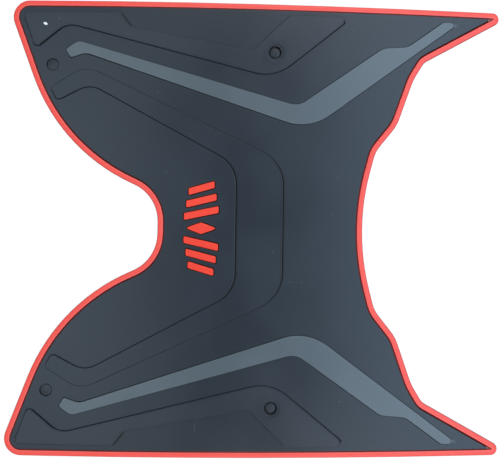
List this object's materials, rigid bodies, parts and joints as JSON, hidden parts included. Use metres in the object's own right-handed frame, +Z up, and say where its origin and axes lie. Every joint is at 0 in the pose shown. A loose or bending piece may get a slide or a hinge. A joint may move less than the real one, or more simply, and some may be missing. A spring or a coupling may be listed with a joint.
{
  "type": "scooter floor mat",
  "caption": "Flat moulded rubber footboard mat with a rounded front notch, a waisted rear cut-out, a red edge band, raised panels and bent grey grip stripes.",
  "frame": {"origin": "on the underside, below the centre of the mat's bounding box", "axes": "+X towards the rear of the scooter, +Y towards the rider's right, +Z up out of the tread"},
  "size_m": [0.4508, 0.4208, 0.0047],
  "materials": {
    "black_rubber": "matte moulded black rubber with a fine grain",
    "red_rubber": "satin bright red rubber",
    "grey_rubber": "matte mid grey rubber",
    "red_inlay": "satin bright red rubber"
  },
  "bodies": {
    "root": {"mat_body": "black_rubber", "edge_band": "red_rubber", "grip_stripe_right": "grey_rubber", "grip_stripe_left": "grey_rubber", "badge_bars": "red_inlay"}
  },
  "joints": []
}
